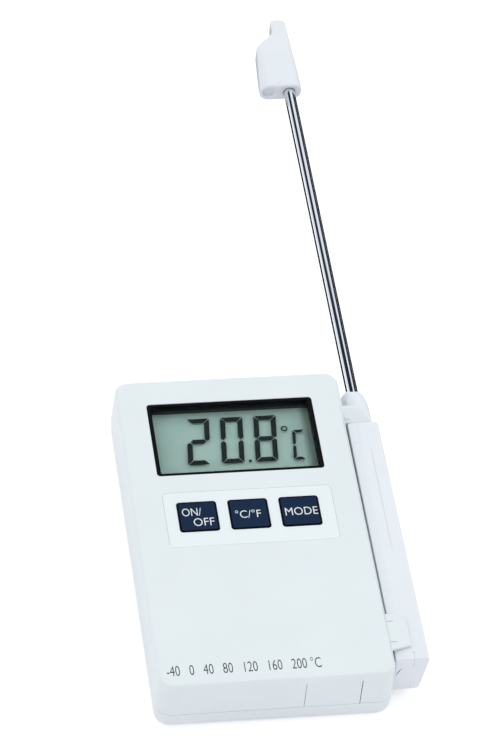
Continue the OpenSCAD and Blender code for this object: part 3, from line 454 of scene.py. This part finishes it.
def joint_line(p):
    """The groove along the shells' joint is narrower and deeper in the bottom end wall."""
    p = p.copy()
    if p.y > CORNER_Y + 0.5 or abs(p.z - PARTING_Z) > 0.25:
        return p
    corner = Vector((math.copysign(CORNER_X, p.x), CORNER_Y))
    out = Vector((p.x, p.y)) - corner if abs(p.x) > CORNER_X else Vector((0, p.y - CORNER_Y))
    if out.length < 4.25:
        return p
    if abs(p.z - PARTING_Z) < 0.05:
        flat = Vector((p.x, p.y)) - out.normalized() * 0.35
        p.x, p.y = flat.x, flat.y
    else:
        p.z = PARTING_Z + (p.z - PARTING_Z) * 0.6
    return p


def rear_edge(p):
    """The back edge turns in less at the bottom end's right corner."""
    p = joint_line(p)
    if p.z < 2.3 and p.y < -50.5:
        p.y -= 0.6 * min(max(p.x / 30, 0), 1) * (1 - p.z / 2.3)
    return p


def sloped_saddle(bm):
    """The upper clip's top slopes down to the handle's end instead of ending in a rounded step."""
    fall = (SADDLE_HIGH - SADDLE_LOW) / SADDLE_RUN

    def above(p):
        """How far a point lies above the slope."""
        return p.z - SADDLE_LOW - fall * (p.y - SADDLE_Y)

    def on_saddle(p):
        return p.x > 31.5 and SADDLE_Y - 0.1 < p.y < SADDLE_Y + 5.2 and p.z > 14.3

    top = [f for f in bm.faces if f.normal.z > 0.05 and all(on_saddle(v.co / MM) for v in f.verts)]
    edges = list(dict.fromkeys(e for f in top for e in f.edges))
    verts = list(dict.fromkeys(v for f in top for v in f.verts))
    bmesh.ops.bisect_plane(
        bm, geom=verts + edges + top, plane_co=Vector((0, SADDLE_Y, SADDLE_LOW)) * MM,
        plane_no=Vector((0, -fall, 1)).normalized(), dist=0.002 * MM
    )
    moved = []
    for vert in bm.verts:
        p = vert.co / MM
        near = p.x > 31.5 and SADDLE_Y - 0.1 < p.y < SADDLE_Y + SADDLE_RUN
        if near and p.z < SADDLE_HIGH + 0.02 and above(p) > 0.001:
            vert.co.z -= above(p) * MM
            moved.append(vert)
    bm.normal_update()
    touched = dict.fromkeys(e for v in moved for e in v.link_edges)
    level = [e for e in touched if e.calc_face_angle(9.0) < math.radians(1)]
    bmesh.ops.dissolve_edges(bm, edges=level, use_verts=True)


def panel_wide(p):
    """The printed panel nearly fills its shallow seat."""
    p = p.copy()
    middle = (PANEL[0] + PANEL[1]) / 2
    half = (PANEL[1] - PANEL[0]) / 2
    for i in (0, 1):
        if abs(p[i] - middle[i]) > half[i] - 0.9:
            p[i] += math.copysign(0.05, p[i] - middle[i])
    return p


def outside_body(p):
    """Whether a point lies on the skin of the body's shells."""
    return p.z > 17.1 or p.z < 0.9 or abs(p.x) > 31.5 or abs(p.y) > 53.0


def outside_handle(p):
    """Whether a point lies on the skin of the handle's shells."""
    return p.z > 15.9 or p.z < 3.6 or p.x < 33.2 or p.x > 41.2 or p.y < -47.7 or p.y > 35.2


edged(
    "front_shell", "housing", 0.10, outside_body, keep=opening_plain, reshape=joint_line,
    shave=sloped_saddle
)
edged("rear_shell", "housing", 0.10, outside_body, keep=opening_plain, reshape=rear_edge)
edged(
    "battery_door", "battery_drawer", 0.06, lambda p: p.y < -53.0, keep=door_level, reshape=door_face
)
edged("key_panel", "housing", 0.03, lambda p: True, reshape=panel_wide)
for node in ("handle_left_shell", "handle_right_shell"):
    edged(
        node, "probe", 0.10, outside_handle, keep=handle_plain, reshape=seam_faded, cuts=SEAM_CUTS
    )


def smoothed(node, body, voxel, rounds, holes, reshape):
    """A copy of a CAD node relaxed into one flowing moulded form, true round its holes."""
    bm = bmesh.new()
    bm.from_mesh(nodes[node].data)
    draft = finish_mesh(bm, node + "_draft", [slot_of(node)])
    remesh = draft.modifiers.new("voxels", "REMESH")
    remesh.mode = "VOXEL"
    remesh.voxel_size = voxel * MM
    graph = bpy.context.evaluated_depsgraph_get()
    data = bpy.data.meshes.new_from_object(draft.evaluated_get(graph))
    bpy.data.objects.remove(draft)
    bm = bmesh.new()
    bm.from_mesh(data)
    free = [
        v for v in bm.verts
        if all(math.hypot(v.co.x / MM - x, v.co.z / MM - z) > r + 0.25 for x, z, r in holes)
    ]
    for _ in range(rounds):
        bmesh.ops.smooth_vert(
            bm, verts=free, factor=0.5, use_axis_x=True, use_axis_y=True, use_axis_z=True
        )
    for vert in bm.verts:
        vert.co = reshape(vert.co / MM) * MM
    piece = finish_mesh(bm, node + "_form", [slot_of(node)])
    for face in piece.data.polygons:
        face.use_smooth = True
    stand_for(piece, node, body)


STEM = (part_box("probe_stem")[0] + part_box("probe_stem")[1]) / 2 / MM
CAP_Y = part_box("tip_cap")[0].y / MM


def shallow_dimple(p):
    """The cap's second hole is a shallow dimple."""
    p = p.copy()
    mouth = CAP_Y + 0.3
    if math.hypot(p.x - STEM.x + 6.4, p.z - STEM.z) < 2.05 and mouth < p.y < CAP_Y + 3.5:
        p.y = mouth + (p.y - mouth) * 0.45
    return p


smoothed("tip_cap", "tip_cap", 0.22, 6, [(STEM.x, STEM.z, 1.7)], shallow_dimple)


def display_cell():
    """The display's glass plates and film as one bonded pane round the segments."""
    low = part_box("display_rear_glass")[0] / MM
    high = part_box("display_polariser")[1] / MM
    middle = (low + high) / 2
    w, l = high.x - low.x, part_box("display_rear_glass")[1].y / MM - low.y
    bm = bmesh.new()
    loft(bm, [[Vector(p) * MM for p in rounded_loop(w, l, 0.3, z)] for z in (low.z + 0.01, high.z)])
    bmesh.ops.translate(bm, verts=bm.verts, vec=Vector((middle.x, middle.y, 0)) * MM)
    piece = finish_mesh(bm, "display_cell", ["display_glass"])
    soft_shading(piece)
    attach(piece, "housing")
    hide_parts("display_polariser", "display_front_glass", "display_rear_glass")


display_cell()


def segments_form():
    """The segments a little taller than their CAD node, with the small degree ring as it is."""
    bm = bmesh.new()
    bm.from_mesh(nodes["display_segments"].data)
    bmesh.ops.remove_doubles(bm, verts=bm.verts, dist=0.001 * MM)
    low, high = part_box("display_segments")
    left = set(bm.verts)
    while left:
        island, waiting = set(), [left.pop()]
        while waiting:
            vert = waiting.pop()
            island.add(vert)
            for edge in vert.link_edges:
                other = edge.other_vert(vert)
                if other in left:
                    left.remove(other)
                    waiting.append(other)
        xs = [v.co.x / MM for v in island]
        ys = [v.co.y / MM for v in island]
        if max(xs) - min(xs) > 2.2 and 2.2 < max(ys) - min(ys) < 4.5:
            continue
        for vert in island:
            share = (vert.co.y - low.y) / (high.y - low.y)
            vert.co.y += (-0.2 + 0.65 * share) * MM
    piece = finish_mesh(bm, "display_segments_form", [slot_of("display_segments")])
    stand_for(piece, "display_segments", "housing")


segments_form()


def gland_form():
    """The gland fills its hole, but for a thin crescent at its upper left."""
    low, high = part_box("cord_gland")
    front, back = low.y / MM - 0.154, high.y / MM
    steps = 96
    peak, half, depth = 156, 44, 0.42

    def ring(y, reach):
        points = []
        for i in range(steps):
            angle = 360 * i / steps
            away = min(abs(angle - peak), half)
            r = reach - depth * (1 + math.cos(math.pi * away / half)) / 2
            turn = math.radians(angle)
            points.append(Vector((GLAND.x + r * math.cos(turn), y, GLAND.z + r * math.sin(turn))) * MM)
        return points

    bm = bmesh.new()
    profile = ((back, 3.17), (front + 0.02, 3.17), (front + 0.006, 3.24), (front, 3.22))
    loft(bm, [ring(y, reach) for y, reach in profile])
    bmesh.ops.recalc_face_normals(bm, faces=bm.faces)
    piece = finish_mesh(bm, "cord_gland_form", [slot_of("cord_gland")])
    soft_shading(piece)
    stand_for(piece, "cord_gland", "probe")


gland_form()


# Keys, with their black border and printed legends

def key_form(node):
    """A key cap with turned edges, a black border and a slightly sunk face. Returns its height."""
    low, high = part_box(node)
    middle = (low + high) / 2
    bm = bmesh.new()
    bm.from_mesh(nodes[node].data)
    zs = sorted({round(v.co.z / MM, 3) for v in bm.verts})
    bm.free()
    hub_low, flange_low, flange_high, top = zs[0], zs[1], zs[2], zs[-1]
    flange_w = (high.x - low.x) / MM
    flange_l = (high.y - low.y) / MM
    w, l = flange_w - 1.5, flange_l - 1.5
    r = 0.8
    e = 0.16
    border = 7
    hub_r, hub_sides = 2.4, 48
    loops = [
        rounded_loop(flange_w, flange_l, r, flange_low),
        rounded_loop(flange_w, flange_l, r, flange_high),
        rounded_loop(w, l, r, flange_high + 0.001),
        rounded_loop(w, l, r, top - e),
        rounded_loop(w - 0.3 * e, l - 0.3 * e, r, top - 0.35 * e),
        rounded_loop(w - 1.0 * e, l - 1.0 * e, r - 0.3 * e, top - 0.06 * e),
        rounded_loop(w - 2.0 * e, l - 2.0 * e, r - 0.8 * e, top),
        rounded_loop(w - 0.86, l - 0.86, r - 0.36, top - 0.002),
        rounded_loop(w - 1.0, l - 1.0, r - 0.4, top - 0.012),
        rounded_loop(w - 3.0, l - 3.0, r - 0.3, top - 0.02),
    ]
    bm = bmesh.new()
    bands = loft(bm, [[Vector((x * MM, y * MM, z * MM)) for x, y, z in loop] for loop in loops])
    for band in bands[:border]:
        for f in band:
            f.material_index = 1
    turns = [2 * math.pi * t / hub_sides for t in range(hub_sides)]
    loft(bm, [
        [Vector((hub_r * math.cos(turn), hub_r * math.sin(turn), z)) * MM for turn in turns]
        for z in (hub_low, flange_low + 0.05)
    ])
    for f in bm.faces:
        f.smooth = True
    bmesh.ops.translate(bm, verts=bm.verts, vec=Vector((middle.x, middle.y, 0)))
    piece = finish_mesh(bm, node + "_form", ["key_navy", "key_black"])
    soft_shading(piece, 40)
    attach(piece, node)
    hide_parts(node)
    return top


# The letters' size in the draft, how much thinner than the font they are, and the ink's thickness
LETTER_SIZE = 0.01
LETTER_THIN = 0.004
INK = 0.012


def lettering(name, text, left, bottom, width, height, z, material, body):
    """Flat printed characters that fill the given width and height, in millimetres."""
    curve = bpy.data.curves.new(name, "FONT")
    curve.body = text
    curve.size = LETTER_SIZE
    curve.offset = -LETTER_THIN * LETTER_SIZE
    curve.extrude = 0.0005
    curve.resolution_u = 4
    draft = bpy.data.objects.new(name + "_draft", curve)
    bpy.context.scene.collection.objects.link(draft)
    graph = bpy.context.evaluated_depsgraph_get()
    data = bpy.data.meshes.new_from_object(draft.evaluated_get(graph))
    bpy.data.objects.remove(draft)
    bpy.data.curves.remove(curve)
    xs = [v.co.x for v in data.vertices]
    ys = [v.co.y for v in data.vertices]
    zs = [v.co.z for v in data.vertices]
    for v in data.vertices:
        y = (v.co.y - min(ys)) / (max(ys) - min(ys)) * height
        x = (v.co.x - min(xs)) / (max(xs) - min(xs)) * width
        top = (v.co.z - min(zs)) / (max(zs) - min(zs)) * INK
        v.co = Vector(((left + x) * MM, (bottom + y) * MM, (z + top) * MM))
    data.name = name
    data.materials.clear()
    data.materials.append(mats[material])
    piece = bpy.data.objects.new(name, data)
    bpy.context.scene.collection.objects.link(piece)
    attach(piece, body)


key_tops = {node: key_form(node) for node in ("key_on_off", "key_unit", "key_mode")}
KEY_FACE = key_tops["key_unit"] - 0.02
BODY_FACE = 18.0
lettering("legend_on", "ON/", -18.65, 3.70, 5.35, 2.70, KEY_FACE, "legend_white", "key_on_off")
lettering("legend_off", "OFF", -15.85, 0.10, 5.75, 2.70, KEY_FACE, "legend_white", "key_on_off")
lettering("legend_unit", "°C/°F", -4.0, 2.02, 7.1, 2.75, KEY_FACE, "legend_white", "key_unit")
lettering("legend_mode", "MODE", 9.9, 2.02, 9.1, 2.70, KEY_FACE, "legend_white", "key_mode")
lettering(
    "printed_numbers", "-40   0   40   80   120   160   200 °C", -29.6, -49.9, 41.6, 3.5,
    BODY_FACE - 0.004, "print_grey", "housing"
)


# Floor, world, lights and camera

def flat_face(name, corners, z):
    """One flat face of the stage, its corners in metres."""
    bm = bmesh.new()
    bm.faces.new([bm.verts.new((x, y, z)) for x, y in corners])
    data = bpy.data.meshes.new(name)
    bm.to_mesh(data)
    bm.free()
    piece = bpy.data.objects.new(name, data)
    bpy.context.scene.collection.objects.link(piece)
    return piece


def add_floor():
    """A pale floor that takes the object's shadow, and shows a little brighter than it is lit."""
    size = 3.0
    glow_strength = 0.35
    corners = ((-size, -size), (size, -size), (size, size), (-size, size))
    floor = flat_face("floor", corners, -0.00005)
    mat = bpy.data.materials.new("floor_white")
    mat.use_nodes = True
    tree = mat.node_tree
    tree.nodes.clear()
    out = tree.nodes.new("ShaderNodeOutputMaterial")
    diffuse = tree.nodes.new("ShaderNodeBsdfDiffuse")
    fine = noise(tree, 0.02, 2.0, 0.5)
    tint = ramp(tree, fine.outputs["Fac"], [(0.3, (0.89, 0.885, 0.895)), (0.7, (0.90, 0.895, 0.90))])
    tree.links.new(tint.outputs["Color"], diffuse.inputs["Color"])
    glow = tree.nodes.new("ShaderNodeEmission")
    path = tree.nodes.new("ShaderNodeLightPath")
    first = tree.nodes.new("ShaderNodeMath")
    first.operation = "MAXIMUM"
    second = tree.nodes.new("ShaderNodeMath")
    second.operation = "MAXIMUM"
    tree.links.new(path.outputs["Is Camera Ray"], first.inputs[0])
    tree.links.new(path.outputs["Is Glossy Ray"], first.inputs[1])
    tree.links.new(first.outputs[0], second.inputs[0])
    tree.links.new(path.outputs["Is Transmission Ray"], second.inputs[1])
    scale = tree.nodes.new("ShaderNodeMath")
    scale.operation = "MULTIPLY"
    scale.inputs[1].default_value = glow_strength
    tree.links.new(second.outputs[0], scale.inputs[0])
    tree.links.new(scale.outputs[0], glow.inputs["Strength"])
    add = tree.nodes.new("ShaderNodeAddShader")
    tree.links.new(diffuse.outputs[0], add.inputs[0])
    tree.links.new(glow.outputs[0], add.inputs[1])
    tree.links.new(add.outputs[0], out.inputs["Surface"])
    floor.data.materials.append(mat)


add_floor()


def add_stem_card():
    """A dark card on the floor round the stem, seen only in gloss: it draws the steel's dark edges."""
    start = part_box("front_shell")[1].y + 0.004
    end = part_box("tip_cap")[1].y + 0.25
    corners = [(-0.001, start), (0.40, start), (0.40, end), (-0.001, end)]
    card = flat_face("stem_card", corners, 0.0001)
    mat, tree, shader = new_material("card_black")
    fine = noise(tree, 0.5, 2.0, 0.5)
    tint = ramp(tree, fine.outputs["Fac"], [(0.3, (0.01, 0.01, 0.012)), (0.7, (0.014, 0.014, 0.017))])
    tree.links.new(tint.outputs["Color"], shader.inputs["Base Color"])
    shader.inputs["Roughness"].default_value = 1.0
    shader.inputs["Specular IOR Level"].default_value = 0.0
    card.data.materials.append(mat)
    card.visible_camera = False
    card.visible_diffuse = False
    card.visible_transmission = False
    card.visible_shadow = False


add_stem_card()


DARK = (0.02, 0.025, 0.04)
DIM = (0.03, 0.035, 0.05)
BRIGHT = (0.88, 0.93, 1.0)
CLEAN = (1, 1, 1)
CEILING = [
    (0.0, (1.02, 0.99, 1.03)), (0.35, (1.02, 1.01, 1.03)), (0.6, (0.98, 1.01, 1.01)),
    (1.0, (0.98, 1.01, 1.01)),
]
NEAR_END = [(0.0, (0.83, 0.825, 0.87)), (0.10, (0.85, 0.845, 0.88)), (0.5, CLEAN), (1.0, CLEAN)]
PATCH = [(0.0, DIM), (0.48, DIM), (0.535, BRIGHT), (0.765, BRIGHT), (0.797, DARK), (1.0, DARK)]
PATCH_MIDDLE = (-0.289, 0.558, 0.526)
OVERHEAD = [(0.0, CLEAN), (0.741, CLEAN), (0.753, DARK), (1.0, DARK)]


def build_world():
    """White to the camera, nearly even as light, and a white ring round a dark patch in gloss."""
    world = bpy.data.worlds.new("studio")
    bpy.context.scene.world = world
    world.use_nodes = True
    tree = world.node_tree
    tree.nodes.clear()
    out = tree.nodes.new("ShaderNodeOutputWorld")
    place = tree.nodes.new("ShaderNodeTexCoord")
    path = tree.nodes.new("ShaderNodeLightPath")

    def along(axis):
        dot = tree.nodes.new("ShaderNodeVectorMath")
        dot.operation = "DOT_PRODUCT"
        dot.inputs[1].default_value = axis
        tree.links.new(place.outputs["Generated"], dot.inputs[0])
        return dot.outputs["Value"]

    def shaded(first, second):
        mix = tree.nodes.new("ShaderNodeMixRGB")
        mix.blend_type = "MULTIPLY"
        mix.inputs["Fac"].default_value = 1.0
        tree.links.new(first, mix.inputs["Color1"])
        tree.links.new(second, mix.inputs["Color2"])
        return mix.outputs["Color"]

    # light on the object: even all round, and weaker from the object's near end
    ceiling = ramp(tree, along((0, 0, 1)), CEILING)
    lift = tree.nodes.new("ShaderNodeMath")
    lift.operation = "ADD"
    lift.inputs[1].default_value = 0.5
    tree.links.new(along((0.05, 0.5, 0)), lift.inputs[0])
    near = ramp(tree, lift.outputs[0], NEAR_END)
    lit = tree.nodes.new("ShaderNodeBackground")
    tree.links.new(shaded(ceiling.outputs["Color"], near.outputs["Color"]), lit.inputs["Color"])
    # what shines in gloss: a white ring round a dark patch, with a dark ceiling over the flat front
    patch = ramp(tree, along(PATCH_MIDDLE), PATCH)
    top = ramp(tree, along((0, 0, 1)), OVERHEAD)
    gloss = tree.nodes.new("ShaderNodeBackground")
    tree.links.new(shaded(patch.outputs["Color"], top.outputs["Color"]), gloss.inputs["Color"])
    seen = tree.nodes.new("ShaderNodeBackground")
    seen.inputs["Color"].default_value = (1, 1, 1, 1)
    first = tree.nodes.new("ShaderNodeMixShader")
    tree.links.new(path.outputs["Is Glossy Ray"], first.inputs["Fac"])
    tree.links.new(lit.outputs[0], first.inputs[1])
    tree.links.new(gloss.outputs[0], first.inputs[2])
    either = tree.nodes.new("ShaderNodeMath")
    either.operation = "MAXIMUM"
    tree.links.new(path.outputs["Is Camera Ray"], either.inputs[0])
    tree.links.new(path.outputs["Is Transmission Ray"], either.inputs[1])
    last = tree.nodes.new("ShaderNodeMixShader")
    tree.links.new(either.outputs[0], last.inputs["Fac"])
    tree.links.new(first.outputs[0], last.inputs[1])
    tree.links.new(seen.outputs[0], last.inputs[2])
    tree.links.new(last.outputs[0], out.inputs["Surface"])


build_world()


def add_lamp():
    """One soft lamp from behind at the right, which doesn't show in gloss."""
    data = bpy.data.lights.new("key_light", "AREA")
    data.shape = "RECTANGLE"
    data.size, data.size_y = 1.5, 1.0
    data.energy = 3.0
    data.color = (1.0, 0.99, 0.97)
    lamp = bpy.data.objects.new("key_light", data)
    bpy.context.scene.collection.objects.link(lamp)
    place, target = Vector((0.85, 1.1, 1.0)), Vector((0, 0.03, 0.01))
    lamp.location = place
    lamp.rotation_mode = "QUATERNION"
    lamp.rotation_quaternion = (place - target).to_track_quat("Z", "Y")
    lamp.visible_glossy = False


add_lamp()

# The camera at the photograph's viewing angle: where its right, down and forward point
RIGHT = Vector((0.9864655, -0.1395546, 0.0860831))
DOWN = Vector((-0.0488638, -0.7513446, -0.6580985))
FORWARD = Vector((0.1565188, 0.6449852, -0.7479947))
FOCAL_PIXELS, FRAME_PIXELS = 3600, 747
SENSOR = 36
spin = Matrix((RIGHT, -DOWN, -FORWARD)).transposed()
camera_data = bpy.data.cameras.new("camera")
camera = bpy.data.objects.new("camera", camera_data)
bpy.context.scene.collection.objects.link(camera)
camera.rotation_mode = "QUATERNION"
camera.rotation_quaternion = spin.to_quaternion()
camera.location = (-0.1530598, -0.6063922, 0.7842649)
camera_data.sensor_fit = "AUTO"
camera_data.sensor_width = SENSOR
camera_data.lens = FOCAL_PIXELS / FRAME_PIXELS * SENSOR
camera_data.clip_start = 0.05
camera_data.clip_end = 50
bpy.context.scene.camera = camera
bpy.context.scene.view_settings.view_transform = "Standard"
